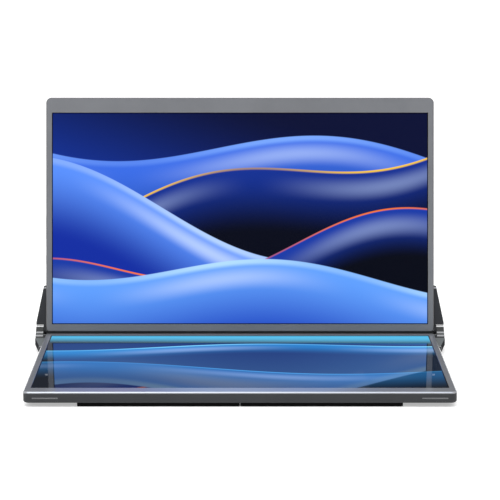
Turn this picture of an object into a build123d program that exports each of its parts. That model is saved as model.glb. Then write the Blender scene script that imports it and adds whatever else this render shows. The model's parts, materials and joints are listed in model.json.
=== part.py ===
from build123d import *

import os
from math import cos, pi, radians, sin, tan

# Dual-screen portable monitor: two thin display halves joined by a geared double-shaft hinge at each side.
# Millimetres, +Z up. The lower half lies on its rubber feet, screen up, and the upper half leans back behind it.
# Each half is drawn on its own face plane. The plane's origin is the middle of the hinge edge, level with the
# top of the bezel, its Z leaves the screen, and the half reaches from local Y = 0 to local Y = -HALF_DEPTH.

os.makedirs("parts", exist_ok=True)

# Picture area of one screen, 15.6 inches at 16:9, and the frame round it
SCREEN_WIDTH = 345.4
SCREEN_HEIGHT = 194.3
SIDE_BEZEL = 5.3
CHIN_BEZEL = 13.8
HINGE_BEZEL = 6.9
CORNER_RADIUS = 5.0
HINGE_CORNER_RADIUS = 2.6
BEZEL_CHAMFER = 0.8
BEZEL_SKIRT = 0.1

# The layers of one half, from the frame's lip down to the back
LIP_THICKNESS = 0.6
GLASS_THICKNESS = 0.8
LCD_THICKNESS = 0.8
BACKLIGHT_THICKNESS = 2.0
BOARD_BAY = 4.1
FLOOR = 1.2
GLASS_OVERLAP = 1.5
WALL = 1.6
PAN_REST = 1.4
PAN_PRESSING = 0.5
PAN_RIM = 12.0
BACK_EDGE_RADIUS = 1.8
FIT_GAP = 0.1

# Screws that hold the frame to the back cover, in a row along the hinge and one along the chin
SCREW_COLUMNS = 4
SCREW_SIDE = 58.0
SCREW_RADIUS = 0.8
SCREW_HEAD_RADIUS = 1.45
SCREW_HEAD_HEIGHT = 0.8
SCREW_SOCKET_RADIUS = 0.8
SCREW_SOCKET_DEPTH = 0.5
SCREW_BITE = 1.6
SCREW_POST = 10.0
BOSS_GAP = 0.4
HOLE_GAP = 0.04

# Rubber feet under the lower half
FOOT_HEIGHT = 3.5
FOOT_WIDTH = 8.0
FRONT_FOOT_LENGTH = 133.7
FRONT_FOOT_JOINT = 0.2
FRONT_FOOT_INSET = 2.6
REAR_FOOT_LENGTH = 46.0
REAR_FOOT_X = 118.0
REAR_FOOT_INSET = 22.0
FOOT_CORNER_RADIUS = 1.2
FOOT_EDGE_RADIUS = 0.7

# Vent slots in the back of each half
VENT_LENGTH = 14.0
VENT_WIDTH = 1.6
VENT_PITCH = 4.4
VENT_COUNT = 13
VENT_GROUP_X = 62.0
VENT_INSET = 40.0

# Hinge: two shafts at each side, held apart by a link
OPEN_ANGLE = 100.6
CLOSED_GAP = 1.2
SHAFT_INSET = 1.6
EDGE_ROUND_RADIUS = 4.2
SHAFT_RADIUS = 1.75
BARREL_RADIUS = 4.4
EAR_GAP = 0.2
KNUCKLE_WIDTH = 2.1
LINK_GAP = 0.2
LINK_WALL = 1.2
LINK_CAP = 1.2
LINK_RIM = 0.9
LINK_EDGE_RADIUS = 0.5
SPIGOT = 0.3
SHAFT_POCKET = 0.6
RUNNING_GAP = 0.05
WASHER_THICKNESS = 0.6
WASHER_GAP = 0.3
PINION_TEETH = 16
IDLER_TEETH = 9
GEAR_WIDTH = 3.2
GEAR_SIDE_GAP = 0.15
TOOTH_ADDENDUM = 0.8
TOOTH_DEDENDUM = 1.0
TOOTH_THICKNESS = 0.4
TOOTH_LEAN = 25.0
IDLER_PIN_RADIUS = 0.55
PIN_SEAT = 0.6
TRIM_DEPTH = 0.35
TRIM_WIDTH = 1.9
TRIM_LOW = -0.3
TRIM_MIDDLE = 3.3

# Hinge arms: a wedge outside each side wall, with a tongue inside it
ARM_LENGTH = 42.3
ARM_TIP = 2.3
ARM_SHOULDER = 8.5
ARM_TOP = 2.6
ARM_LIFT = 0.6
ARM_END_GAP = 0.3
ARM_SHOULDER_RADIUS = 6.0
ARM_TIP_RADIUS = 1.2
ARM_EDGE_RADIUS = 0.4
TONGUE_REACH = 19.0
TONGUE_START = 11.0
TONGUE_LENGTH = 24.0
TONGUE_THICKNESS = 2.4
TONGUE_SCREW_INSET = 12.5
TONGUE_SCREW_PITCH = 13.0

# Control board and its sockets at one side wall; socket places are counted from the board's hinge end.
# The board sits this far from the screen's middle, towards the hinge
BOARD_SHIFT = 6.05
BOARD_LENGTH = 92.0
BOARD_WIDTH = 62.0
BOARD_THICKNESS = 0.8
BOARD_LIFT = 0.6
BOARD_POST_RADIUS = 2.0
BOARD_POST_INSET = 6.0
CHIP_HEIGHT = 1.2
CHIPS = ((22.0, 20.0, 14.0), (44.0, 62.0, 10.0), (48.0, 24.0, 7.0))
SOCKET_RECESS = 0.4
SOCKET_SHELL = 0.3
SOCKET_GAP = 0.2
SOCKET_BACK = 1.6
SOCKET_TONGUE = 0.7
USB_WIDTH = 8.94
USB_HEIGHT = 3.16
USB_LENGTH = 8.6
USB_PLACES = (12.0, 30.0)
HDMI_WIDTH = 11.2
HDMI_HEIGHT = 3.1
HDMI_LENGTH = 8.0
HDMI_CORNER = 1.0
HDMI_PLACE = 50.0
RIBBON_WIDTH = 34.0
RIBBON_THICKNESS = 0.3
RIBBON_RUN = 30.0
RIBBON_FLAT = 10.0
RIBBON_BEND = 8.0

# Buttons at the other side wall, and the board behind them
BUTTON_HEIGHT = 2.2
BUTTON_PROUD = 0.5
BUTTON_EDGE_RADIUS = 0.25
BUTTON_GAP = 0.25
POWER_LENGTH = 8.0
POWER_START = 66.0
POWER_TRAVEL = 0.6
FLANGE_RIM = 0.7
FLANGE_THICKNESS = 0.8
POCKET_GAP = 0.7
ROCKER_LENGTH = 22.0
ROCKER_START = 96.0
ROCKER_ANGLE = 2.0
ROCKER_END_GAP = 0.5
ROCKER_BAR = 3.9
ROCKER_PIVOT_RADIUS = 0.8
ROCKER_HUB_RADIUS = 1.7
SWITCH_LENGTH = 4.2
SWITCH_DEPTH = 3.0
SWITCH_HEIGHT = 2.2
PLUNGER_RADIUS = 0.5
PLUNGER_LENGTH = 0.8
KEY_BOARD_WIDTH = 9.0
KEY_BOARD_MARGIN = 4.0

# Speakers behind the front corners of the lower half
SPEAKER_CORNER = 18.1
SPEAKER_LENGTH = 23.0
SPEAKER_HEADROOM = 0.5
SPEAKER_RIM = 1.7
CONE_LENGTH = 16.0
CONE_WIDTH = 5.0
CONE_DEPTH = 0.6
GRILLE_LENGTH = 21.3
GRILLE_HEIGHT = 1.0
GRILLE_DROP = 5.3
GRILLE_SLOTS = 9
GRILLE_SLOT_LENGTH = 1.2
GRILLE_SLOT_HEIGHT = 0.45
GRILLE_SLOT_PITCH = 2.2

# Sizes of one half that follow from the ones above; depths are counted down from the top of the frame
HALF_WIDTH = SCREEN_WIDTH + 2 * SIDE_BEZEL
HALF_DEPTH = SCREEN_HEIGHT + CHIN_BEZEL + HINGE_BEZEL
GLASS_BACK = LIP_THICKNESS + GLASS_THICKNESS
BEZEL_BACK = GLASS_BACK + BEZEL_SKIRT
LCD_BACK = GLASS_BACK + LCD_THICKNESS
PAN_BACK = LCD_BACK + BACKLIGHT_THICKNESS
FLOOR_TOP = PAN_BACK + BOARD_BAY
HALF_THICKNESS = FLOOR_TOP + FLOOR
BAY_MIDDLE = PAN_BACK + BOARD_BAY / 2
GLASS_WIDTH = SCREEN_WIDTH + 2 * GLASS_OVERLAP
GLASS_HEIGHT = SCREEN_HEIGHT + 2 * GLASS_OVERLAP
SCREEN_MIDDLE = -HINGE_BEZEL - SCREEN_HEIGHT / 2
GLASS_HINGE_EDGE = SCREEN_MIDDLE + GLASS_HEIGHT / 2
GLASS_CHIN_EDGE = SCREEN_MIDDLE - GLASS_HEIGHT / 2
SIDE = HALF_WIDTH / 2
INNER_SIDE = SIDE - WALL
BAY_SIDE = GLASS_WIDTH / 2 - PAN_REST
BAY_WIDTH = 2 * BAY_SIDE
BAY_HEIGHT = GLASS_HEIGHT - 2 * PAN_REST
CHIN_WALL = WALL - HALF_DEPTH
CHIN_LEDGE_MIDDLE = (SCREEN_MIDDLE - BAY_HEIGHT / 2 + CHIN_WALL) / 2
CHIN_LEDGE = SCREEN_MIDDLE - BAY_HEIGHT / 2 - CHIN_WALL
BOSS_RADIUS = (-GLASS_HINGE_EDGE - WALL) / 2 - BOSS_GAP
SCREW_ROWS = ((GLASS_HINGE_EDGE - WALL) / 2, (GLASS_CHIN_EDGE + CHIN_WALL) / 2)
SCREW_PITCH = 2 * (SIDE - SCREW_SIDE) / (SCREW_COLUMNS - 1)
SPEAKER_POCKET = CHIN_LEDGE - 2 * SPEAKER_RIM
BOARD_START = -SCREEN_MIDDLE - BOARD_LENGTH / 2 - BOARD_SHIFT
BOARD_TOP = FLOOR_TOP - BOARD_LIFT - BOARD_THICKNESS
BOARD_EDGE = -BAY_SIDE + FIT_GAP
SOCKET_FRONT = -SIDE + SOCKET_RECESS
ROCKER_PIVOT_X = BAY_SIDE - ROCKER_HUB_RADIUS
SWITCH_FRONT = ROCKER_PIVOT_X - ROCKER_HUB_RADIUS - FIT_GAP
PLUNGER_END = SWITCH_FRONT + PLUNGER_LENGTH
KEY_BOARD_X = SWITCH_FRONT - KEY_BOARD_WIDTH / 2
ROCKER_REACH = (ROCKER_LENGTH - SWITCH_LENGTH) / 2
SWITCH_PLACES = (POWER_START, ROCKER_START - ROCKER_REACH, ROCKER_START + ROCKER_REACH)

# Sizes of the hinge that follow; distances across are counted out from the side walls
SHAFT_DROP = HALF_THICKNESS / 2
SHAFT_SPACING = HALF_THICKNESS + CLOSED_GAP
CAVITY_RADIUS = BARREL_RADIUS - LINK_RIM
WASHER_RADIUS = CAVITY_RADIUS - WASHER_GAP
LINK_CAVITY = WASHER_THICKNESS + GEAR_WIDTH + 2 * GEAR_SIDE_GAP + SPIGOT
LINK_START = EAR_GAP + KNUCKLE_WIDTH + LINK_GAP
CAVITY_START = LINK_START + LINK_WALL
GEAR_START = CAVITY_START + WASHER_THICKNESS + GEAR_SIDE_GAP
CAP_START = CAVITY_START + LINK_CAVITY
SHAFT_END = CAP_START + SHAFT_POCKET - RUNNING_GAP
LINK_WIDTH = LINK_WALL + LINK_CAVITY + LINK_CAP
EAR_REACH = LINK_START + LINK_WIDTH
GEAR_MODULE = SHAFT_SPACING / (PINION_TEETH + 2 * IDLER_TEETH)
PINION_RADIUS = GEAR_MODULE * PINION_TEETH / 2
IDLER_RADIUS = GEAR_MODULE * IDLER_TEETH / 2
IDLER_PLACES = (PINION_RADIUS + IDLER_RADIUS, PINION_RADIUS + 3 * IDLER_RADIUS)
TRIM_STARTS = (TRIM_LOW, TRIM_MIDDLE, SHAFT_SPACING)
ARM_END = SHAFT_INSET + BARREL_RADIUS + ARM_END_GAP
ARM_BOTTOM = HALF_THICKNESS - ARM_LIFT

# Where the halves stand, as (Y, Z): the monitor is centred on the origin, with its feet at Z = 0
LEAN = radians(OPEN_ANGLE)
UP = (-cos(LEAN), sin(LEAN))
FACING = (-sin(LEAN), -cos(LEAN))
ALONG_LINK = (sin(LEAN / 2), cos(LEAN / 2))
UPPER_SHAFT = (
    SHAFT_SPACING * ALONG_LINK[0] - SHAFT_INSET,
    SHAFT_SPACING * ALONG_LINK[1] - SHAFT_DROP,
)
UPPER_EDGE = (
    UPPER_SHAFT[0] - SHAFT_INSET * UP[0] + SHAFT_DROP * FACING[0],
    UPPER_SHAFT[1] - SHAFT_INSET * UP[1] + SHAFT_DROP * FACING[1],
)
OVERHANG = (
    UPPER_EDGE[0]
    + (HALF_DEPTH - BACK_EDGE_RADIUS) * UP[0]
    - (HALF_THICKNESS - BACK_EDGE_RADIUS) * FACING[0]
    + BACK_EDGE_RADIUS
)
HINGE_EDGE = (HALF_DEPTH - OVERHANG) / 2
SCREEN_LEVEL = FOOT_HEIGHT + HALF_THICKNESS
LOWER = Plane(origin=(0, HINGE_EDGE, SCREEN_LEVEL), x_dir=(1, 0, 0), z_dir=(0, 0, 1))
UPPER = Plane(
    origin=(0, HINGE_EDGE + UPPER_EDGE[0], SCREEN_LEVEL + UPPER_EDGE[1]),
    x_dir=(-1, 0, 0),
    z_dir=(0, *FACING),
)


def save(part, name):
    """Labels a finished piece and writes it under its own name."""
    part.label = name
    export_step(part, f"parts/{name}.step")


def below(face, depth):
    """The plane that lies a depth below the top of the frame."""
    return face.offset(-depth)


def outward(face):
    """The direction that leaves the screen, to sort by."""
    return Axis(face.origin, face.z_dir)


def sideways(face, side):
    """The direction that leaves a half through one of its side walls, to sort by."""
    return Axis(face.origin, face.x_dir * side)


def side_plane(face, across):
    """A plane square to the hinge line: its X runs along the half's depth and its Y leaves the screen."""
    return Plane(origin=face.from_local_coords((across, 0, 0)), x_dir=face.y_dir, z_dir=face.x_dir)


def front_plane(face):
    """The outside of the chin wall: its X runs across and its Y leaves the screen."""
    chin = face.from_local_coords((0, -HALF_DEPTH, 0))
    return Plane(origin=chin, x_dir=face.x_dir, z_dir=-face.y_dir)


def link_plane(side, out):
    """A plane square to the lower shaft, some way out from a side wall: its X points to the upper shaft."""
    shaft = (side * (SIDE + out), HINGE_EDGE - SHAFT_INSET, SCREEN_LEVEL - SHAFT_DROP)
    return Plane(origin=shaft, x_dir=(0, *ALONG_LINK), z_dir=(1, 0, 0))


def screw_places():
    """The frame screws of one half."""
    first = -SCREW_PITCH * (SCREW_COLUMNS - 1) / 2
    return [(first + SCREW_PITCH * column, row) for row in SCREW_ROWS for column in range(SCREW_COLUMNS)]


def tongue_screw_places(sides):
    """The two screws through the tongue of each hinge arm named."""
    middle = -TONGUE_START - TONGUE_LENGTH / 2
    rows = (middle - TONGUE_SCREW_PITCH / 2, middle + TONGUE_SCREW_PITCH / 2)
    return [(side * (SIDE - TONGUE_SCREW_INSET), row) for side in sides for row in rows]


def speaker_places(depth):
    """The two speakers' places at a depth along the half, or below its top."""
    return [(side * (SIDE - SPEAKER_CORNER), depth) for side in (-1, 1)]


def half_outline(plane):
    """Outline of a half, its corners rounder at the chin than at the hinge."""
    with BuildSketch(plane) as outline:
        with Locations((0, -HALF_DEPTH / 2)):
            Rectangle(HALF_WIDTH, HALF_DEPTH)
        fillet(outline.vertices().group_by(Axis.Y)[0], CORNER_RADIUS)
        fillet(outline.vertices().group_by(Axis.Y)[-1], HINGE_CORNER_RADIUS)
    return outline.sketch


def bezel(face):
    """Front frame: a lip over the edge of the glass, a chamfered rim and screw bosses behind it."""
    with BuildPart() as frame:
        extrude(half_outline(below(face, BEZEL_BACK)), amount=BEZEL_BACK)
        front = frame.faces().sort_by(outward(face))[-1]
        chamfer(front.edges(), BEZEL_CHAMFER)
        with BuildSketch(below(face, LIP_THICKNESS)):
            with Locations((0, SCREEN_MIDDLE)):
                Rectangle(SCREEN_WIDTH, SCREEN_HEIGHT)
        extrude(amount=LIP_THICKNESS, mode=Mode.SUBTRACT)
        with BuildSketch(below(face, BEZEL_BACK)):
            with Locations((0, SCREEN_MIDDLE)):
                Rectangle(GLASS_WIDTH + 2 * FIT_GAP, GLASS_HEIGHT + 2 * FIT_GAP)
        extrude(amount=BEZEL_BACK - LIP_THICKNESS, mode=Mode.SUBTRACT)
        with BuildSketch(below(face, PAN_BACK)):
            with Locations(*screw_places()):
                Circle(BOSS_RADIUS)
        extrude(amount=PAN_BACK - BEZEL_BACK)
        with BuildSketch(below(face, PAN_BACK)):
            with Locations(*screw_places()):
                Circle(SCREW_RADIUS + HOLE_GAP)
        extrude(amount=SCREW_BITE + HOLE_GAP, mode=Mode.SUBTRACT)
    return frame.part


def sheet(face, front, back):
    """One flat layer of the display, from one depth to another."""
    with BuildPart() as layer:
        with BuildSketch(below(face, back)):
            with Locations((0, SCREEN_MIDDLE)):
                Rectangle(GLASS_WIDTH, GLASS_HEIGHT)
        extrude(amount=back - front)
    return layer.part


def backlight(face):
    """Metal backlight pan, its back pressed in inside a flat rim."""
    with BuildPart() as pan:
        with BuildSketch(below(face, PAN_BACK)):
            with Locations((0, SCREEN_MIDDLE)):
                Rectangle(GLASS_WIDTH, GLASS_HEIGHT)
        extrude(amount=BACKLIGHT_THICKNESS)
        with BuildSketch(below(face, PAN_BACK)):
            with Locations((0, SCREEN_MIDDLE)):
                RectangleRounded(GLASS_WIDTH - 2 * PAN_RIM, GLASS_HEIGHT - 2 * PAN_RIM, CORNER_RADIUS)
        extrude(amount=PAN_PRESSING, mode=Mode.SUBTRACT)
    return pan.part


def chin_pockets(face, has_speakers):
    """Hollows in the solid chin ledge, between the screws and where the speakers sit."""
    with BuildSketch(below(face, FLOOR_TOP)) as pockets:
        with Locations((0, CHIN_LEDGE_MIDDLE)):
            with GridLocations(SCREW_PITCH, SCREW_PITCH, SCREW_COLUMNS - 1, 1):
                Rectangle(SCREW_PITCH - SCREW_POST, SPEAKER_POCKET)
        if has_speakers:
            with Locations(*speaker_places(CHIN_LEDGE_MIDDLE)):
                Rectangle(SPEAKER_LENGTH + 2 * FIT_GAP, SPEAKER_POCKET)
    return pockets.sketch


def socket_openings(face):
    """Outlines of the sockets' holes in one side wall."""
    with BuildSketch(side_plane(face, -SIDE)) as holes:
        with Locations(*((-BOARD_START - place, -BAY_MIDDLE) for place in USB_PLACES)):
            SlotOverall(USB_WIDTH + 2 * SOCKET_GAP, USB_HEIGHT + 2 * SOCKET_GAP)
        with Locations((-BOARD_START - HDMI_PLACE, -BAY_MIDDLE)):
            Rectangle(HDMI_WIDTH + 2 * SOCKET_GAP, HDMI_HEIGHT + 2 * SOCKET_GAP)
    return holes.sketch


def button_openings(face):
    """Outlines of the buttons' slots in the other side wall."""
    height = BUTTON_HEIGHT + 2 * BUTTON_GAP
    with BuildSketch(side_plane(face, SIDE)) as slots:
        with Locations((-POWER_START, -BAY_MIDDLE)):
            SlotOverall(POWER_LENGTH + 2 * BUTTON_GAP, height)
        with Locations((-ROCKER_START, -BAY_MIDDLE)):
            SlotOverall(ROCKER_LENGTH + 2 * ROCKER_END_GAP, height)
    return slots.sketch


def button_pockets(face):
    """Outlines of the gaps in the ledge that the buttons' inner ends need."""
    across = (BAY_SIDE + INNER_SIDE) / 2
    margin = FLANGE_RIM + POCKET_GAP
    with BuildSketch(below(face, FLOOR_TOP)) as pockets:
        with Locations((across, -POWER_START)):
            Rectangle(INNER_SIDE - BAY_SIDE, POWER_LENGTH + 2 * margin)
        with Locations((across, -ROCKER_START)):
            Rectangle(INNER_SIDE - BAY_SIDE, ROCKER_LENGTH + 2 * margin)
    return pockets.sketch


def board_posts(face):
    """Outlines of the posts under the control board and under the button board."""
    near = BOARD_EDGE + USB_LENGTH + BOARD_POST_INSET
    far = BOARD_EDGE + BOARD_WIDTH - BOARD_POST_INSET
    start = -BOARD_START - BOARD_POST_INSET
    end = -BOARD_START - BOARD_LENGTH + BOARD_POST_INSET
    with BuildSketch(below(face, FLOOR_TOP)) as posts:
        with Locations((near, start), (near, end), (far, start), (far, end)):
            Circle(BOARD_POST_RADIUS)
        with Locations((KEY_BOARD_X, -POWER_START), (KEY_BOARD_X, -ROCKER_START)):
            Circle(BOARD_POST_RADIUS)
    return posts.sketch


def rocker_post(face):
    """Outline of the post that the menu rocker tips on."""
    with BuildSketch(below(face, FLOOR_TOP)) as post:
        with Locations((ROCKER_PIVOT_X, -ROCKER_START)):
            Circle(ROCKER_PIVOT_RADIUS)
    return post.sketch


def tongue_openings(face):
    """Outlines of the gaps in both side walls for the hinge arms' tongues."""
    depth = SIDE - BAY_SIDE
    with BuildSketch(below(face, FLOOR_TOP)) as gaps:
        for side in (-1, 1):
            with Locations((side * (SIDE - depth / 2), -TONGUE_START - TONGUE_LENGTH / 2)):
                Rectangle(depth, TONGUE_LENGTH + 2 * FIT_GAP)
    return gaps.sketch


def vent_slots(face):
    """Outlines of two rows of vent slots near the hinge."""
    with BuildSketch(below(face, HALF_THICKNESS)) as vents:
        for group in (-VENT_GROUP_X, VENT_GROUP_X):
            with Locations((group, -VENT_INSET)):
                with GridLocations(VENT_PITCH, VENT_PITCH, VENT_COUNT, 1):
                    SlotOverall(VENT_LENGTH, VENT_WIDTH, rotation=90)
    return vents.sketch


def back_screw_circles(face, radius):
    """Circles at every screw in a half's back."""
    with BuildSketch(below(face, HALF_THICKNESS)) as circles:
        with Locations(*screw_places(), *tongue_screw_places((-1, 1))):
            Circle(radius)
    return circles.sketch


def grille_openings(face):
    """Outlines of the speaker grilles' slots in the chin wall."""
    with BuildSketch(front_plane(face)) as slots:
        with Locations(*speaker_places(-GRILLE_DROP)):
            SlotOverall(GRILLE_LENGTH, GRILLE_HEIGHT)
    return slots.sketch


def round_edge(face):
    """Section of the round edge that closes most of the gap along the hinge, drawn about the shafts' line."""
    reach = EDGE_ROUND_RADIUS - SHAFT_INSET
    with BuildSketch(side_plane(face, -SIDE)) as edge:
        with Locations((-SHAFT_INSET, -SHAFT_DROP)):
            Circle(EDGE_ROUND_RADIUS)
        with Locations(((reach - WALL / 2) / 2, -(BEZEL_BACK + HALF_THICKNESS) / 2)):
            Rectangle(reach + WALL / 2, HALF_THICKNESS - BEZEL_BACK, mode=Mode.INTERSECT)
    return edge.sketch


def back_cover(face, has_speakers):
    """Back shell: a tray with a ledge under the display, posts for its boards and all its openings."""
    with BuildPart() as cover:
        extrude(half_outline(below(face, HALF_THICKNESS)), amount=HALF_THICKNESS - BEZEL_BACK)
        back = cover.faces().sort_by(outward(face))[0]
        fillet(back.edges(), BACK_EDGE_RADIUS)
        extrude(round_edge(face), amount=HALF_WIDTH)
        with BuildSketch(below(face, PAN_BACK)):
            with Locations((0, -HALF_DEPTH / 2)):
                RectangleRounded(2 * INNER_SIDE, HALF_DEPTH - 2 * WALL, CORNER_RADIUS - WALL)
        extrude(amount=PAN_BACK - BEZEL_BACK, mode=Mode.SUBTRACT)
        with BuildSketch(below(face, FLOOR_TOP)):
            with Locations((0, SCREEN_MIDDLE)):
                RectangleRounded(BAY_WIDTH, BAY_HEIGHT, CORNER_RADIUS - WALL)
        extrude(amount=BOARD_BAY, mode=Mode.SUBTRACT)
        extrude(chin_pockets(face, has_speakers), amount=BOARD_BAY, mode=Mode.SUBTRACT)
        extrude(socket_openings(face), amount=SIDE - BAY_SIDE, mode=Mode.SUBTRACT)
        extrude(button_openings(face), amount=-WALL, mode=Mode.SUBTRACT)
        extrude(button_pockets(face), amount=BOARD_BAY, mode=Mode.SUBTRACT)
        extrude(tongue_openings(face), amount=TONGUE_THICKNESS + FIT_GAP, mode=Mode.SUBTRACT)
        extrude(board_posts(face), amount=BOARD_LIFT)
        extrude(rocker_post(face), amount=BOARD_BAY - FIT_GAP)
        extrude(vent_slots(face), amount=FLOOR, mode=Mode.SUBTRACT)
        extrude(
            back_screw_circles(face, SCREW_RADIUS + HOLE_GAP),
            amount=FLOOR + BOARD_BAY,
            mode=Mode.SUBTRACT,
        )
        extrude(
            back_screw_circles(face, SCREW_HEAD_RADIUS + HOLE_GAP),
            amount=SCREW_HEAD_HEIGHT,
            mode=Mode.SUBTRACT,
        )
        if has_speakers:
            extrude(grille_openings(face), amount=-WALL - SPEAKER_RIM, mode=Mode.SUBTRACT)
    return cover.part


def screws(face, places, length):
    """A set of screws driven in from the back, with sunk heads and six-sided sockets for the driver."""
    with BuildPart() as group:
        with BuildSketch(below(face, HALF_THICKNESS)):
            with Locations(*places):
                Circle(SCREW_HEAD_RADIUS)
        extrude(amount=SCREW_HEAD_HEIGHT)
        with BuildSketch(below(face, HALF_THICKNESS - SCREW_HEAD_HEIGHT)):
            with Locations(*places):
                Circle(SCREW_RADIUS)
        extrude(amount=length - SCREW_HEAD_HEIGHT)
        with BuildSketch(below(face, HALF_THICKNESS)):
            with Locations(*places):
                RegularPolygon(SCREW_SOCKET_RADIUS, 6)
        extrude(amount=SCREW_SOCKET_DEPTH, mode=Mode.SUBTRACT)
    return group.part


def hinge_arm(face, side):
    """Cast arm: a wedge outside the side wall, the knuckle that grips the shaft and a tongue inside."""
    with BuildPart() as arm:
        with BuildSketch(below(face, ARM_BOTTOM)):
            with BuildLine():
                Polyline(
                    (side * SIDE, -ARM_LENGTH),
                    (side * (SIDE + ARM_TIP), -ARM_LENGTH),
                    (side * (SIDE + EAR_REACH), -ARM_SHOULDER),
                    (side * (SIDE + EAR_REACH), -ARM_END),
                    (side * SIDE, -ARM_END),
                    close=True,
                )
            make_face()
        extrude(amount=ARM_BOTTOM - ARM_TOP)
        corners = arm.edges().filter_by(outward(face)).group_by(Axis(face.origin, face.y_dir))
        tip, shoulder = (row.sort_by(sideways(face, side))[-1] for row in corners[:2])
        fillet(tip, ARM_TIP_RADIUS)
        fillet(shoulder, ARM_SHOULDER_RADIUS)
        flats = arm.faces().sort_by(outward(face))
        rims = flats[0].edges() + flats[-1].edges()
        fillet(rims.sort_by(sideways(face, side))[2:], ARM_EDGE_RADIUS)
        with BuildSketch(side_plane(face, side * (SIDE + EAR_GAP))):
            with Locations((-SHAFT_INSET, -SHAFT_DROP)):
                Circle(BARREL_RADIUS)
            web = ARM_SHOULDER - SHAFT_INSET
            with Locations((-SHAFT_INSET - web / 2, -(ARM_BOTTOM + ARM_TOP) / 2)):
                Rectangle(web, ARM_BOTTOM - ARM_TOP)
        extrude(amount=side * KNUCKLE_WIDTH)
        with BuildSketch(below(face, FLOOR_TOP)):
            with Locations((side * (SIDE - TONGUE_REACH / 2), -TONGUE_START - TONGUE_LENGTH / 2)):
                Rectangle(TONGUE_REACH, TONGUE_LENGTH)
        extrude(amount=TONGUE_THICKNESS)
        with BuildSketch(side_plane(face, side * SIDE)):
            with Locations((-SHAFT_INSET, -SHAFT_DROP)):
                Circle(SHAFT_RADIUS + HOLE_GAP / 2)
        extrude(amount=side * LINK_START, mode=Mode.SUBTRACT)
        with BuildSketch(below(face, FLOOR_TOP)):
            with Locations(*tongue_screw_places((side,))):
                Circle(SCREW_RADIUS + HOLE_GAP)
        extrude(amount=TONGUE_THICKNESS, mode=Mode.SUBTRACT)
    return arm.part


def gear_points(teeth, along, first_tooth):
    """Corners of a spur gear's straight-flanked teeth, one of them at the first tooth's angle in radians."""
    pitch_radius = GEAR_MODULE * teeth / 2
    half_tooth = TOOTH_THICKNESS * pi * GEAR_MODULE / 2
    lean = GEAR_MODULE * tan(radians(TOOTH_LEAN))
    tip = pitch_radius + TOOTH_ADDENDUM * GEAR_MODULE
    root = pitch_radius - TOOTH_DEDENDUM * GEAR_MODULE
    tip_half = (half_tooth - TOOTH_ADDENDUM * lean) / tip
    root_half = (half_tooth + TOOTH_DEDENDUM * lean) / root
    points = []
    for tooth in range(teeth):
        middle = first_tooth + 2 * pi * tooth / teeth
        for radius, angle in ((root, -root_half), (tip, -tip_half), (tip, tip_half), (root, root_half)):
            points.append((along + radius * cos(middle + angle), radius * sin(middle + angle)))
    return points


def hinge_shaft(side, along, first_tooth):
    """A shaft with its pinion, gripped by an arm's knuckle at one end and turning in the link."""
    with BuildPart() as shaft:
        with BuildSketch(link_plane(side, EAR_GAP)):
            with Locations((along, 0)):
                Circle(SHAFT_RADIUS)
        extrude(amount=side * (SHAFT_END - EAR_GAP))
        with BuildSketch(link_plane(side, GEAR_START)):
            with BuildLine():
                Polyline(*gear_points(PINION_TEETH, along, first_tooth), close=True)
            make_face()
        extrude(amount=side * GEAR_WIDTH)
    return shaft.part


def idler_gear(side, along):
    """One of the two small gears between the pinions, with a tooth towards the upper shaft."""
    with BuildPart() as gear:
        with BuildSketch(link_plane(side, GEAR_START)):
            with BuildLine():
                Polyline(*gear_points(IDLER_TEETH, along, 0), close=True)
            make_face()
            with Locations((along, 0)):
                Circle(IDLER_PIN_RADIUS + RUNNING_GAP, mode=Mode.SUBTRACT)
        extrude(amount=side * GEAR_WIDTH)
    return gear.part


def link_outline(radius, mode=Mode.ADD):
    """Adds the link's long round-ended outline to the open sketch."""
    with Locations((SHAFT_SPACING / 2, 0)):
        SlotCenterToCenter(SHAFT_SPACING, 2 * radius, mode=mode)


def shaft_circles(radius, mode=Mode.ADD):
    """Adds a circle at both shafts to the open sketch."""
    with Locations((0, 0), (SHAFT_SPACING, 0)):
        Circle(radius, mode=mode)


def pin_circles(radius):
    """Adds a circle at both idler pins to the open sketch."""
    with Locations(*((along, 0) for along in IDLER_PLACES)):
        Circle(radius)


def trim_bands():
    """Adds the trim lines' sections to the open sketch: what is left of the link's skin between the gaps."""
    link_outline(BARREL_RADIUS)
    link_outline(BARREL_RADIUS - TRIM_DEPTH, Mode.SUBTRACT)
    gap_starts = (-SHAFT_SPACING, *(start + TRIM_WIDTH for start in TRIM_STARTS))
    gap_ends = (*TRIM_STARTS, 2 * SHAFT_SPACING)
    for start, end in zip(gap_starts, gap_ends):
        with Locations(((start + end) / 2, 0)):
            Rectangle(end - start, 2 * (BARREL_RADIUS + TRIM_DEPTH), mode=Mode.SUBTRACT)


def link_housing(side):
    """The box that holds both shafts apart and hides the gears, open towards its cap."""
    with BuildPart() as housing:
        with BuildSketch(link_plane(side, LINK_START)):
            link_outline(BARREL_RADIUS)
            shaft_circles(SHAFT_RADIUS + RUNNING_GAP, Mode.SUBTRACT)
        extrude(amount=side * (LINK_WALL + LINK_CAVITY))
        with BuildSketch(link_plane(side, CAVITY_START)):
            link_outline(CAVITY_RADIUS)
        extrude(amount=side * LINK_CAVITY, mode=Mode.SUBTRACT)
        with BuildSketch(link_plane(side, CAVITY_START)):
            pin_circles(IDLER_PIN_RADIUS)
        extrude(amount=-side * PIN_SEAT, mode=Mode.SUBTRACT)
        with BuildSketch(link_plane(side, LINK_START)):
            trim_bands()
        extrude(amount=side * LINK_WIDTH, mode=Mode.SUBTRACT)
    return housing.part


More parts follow.
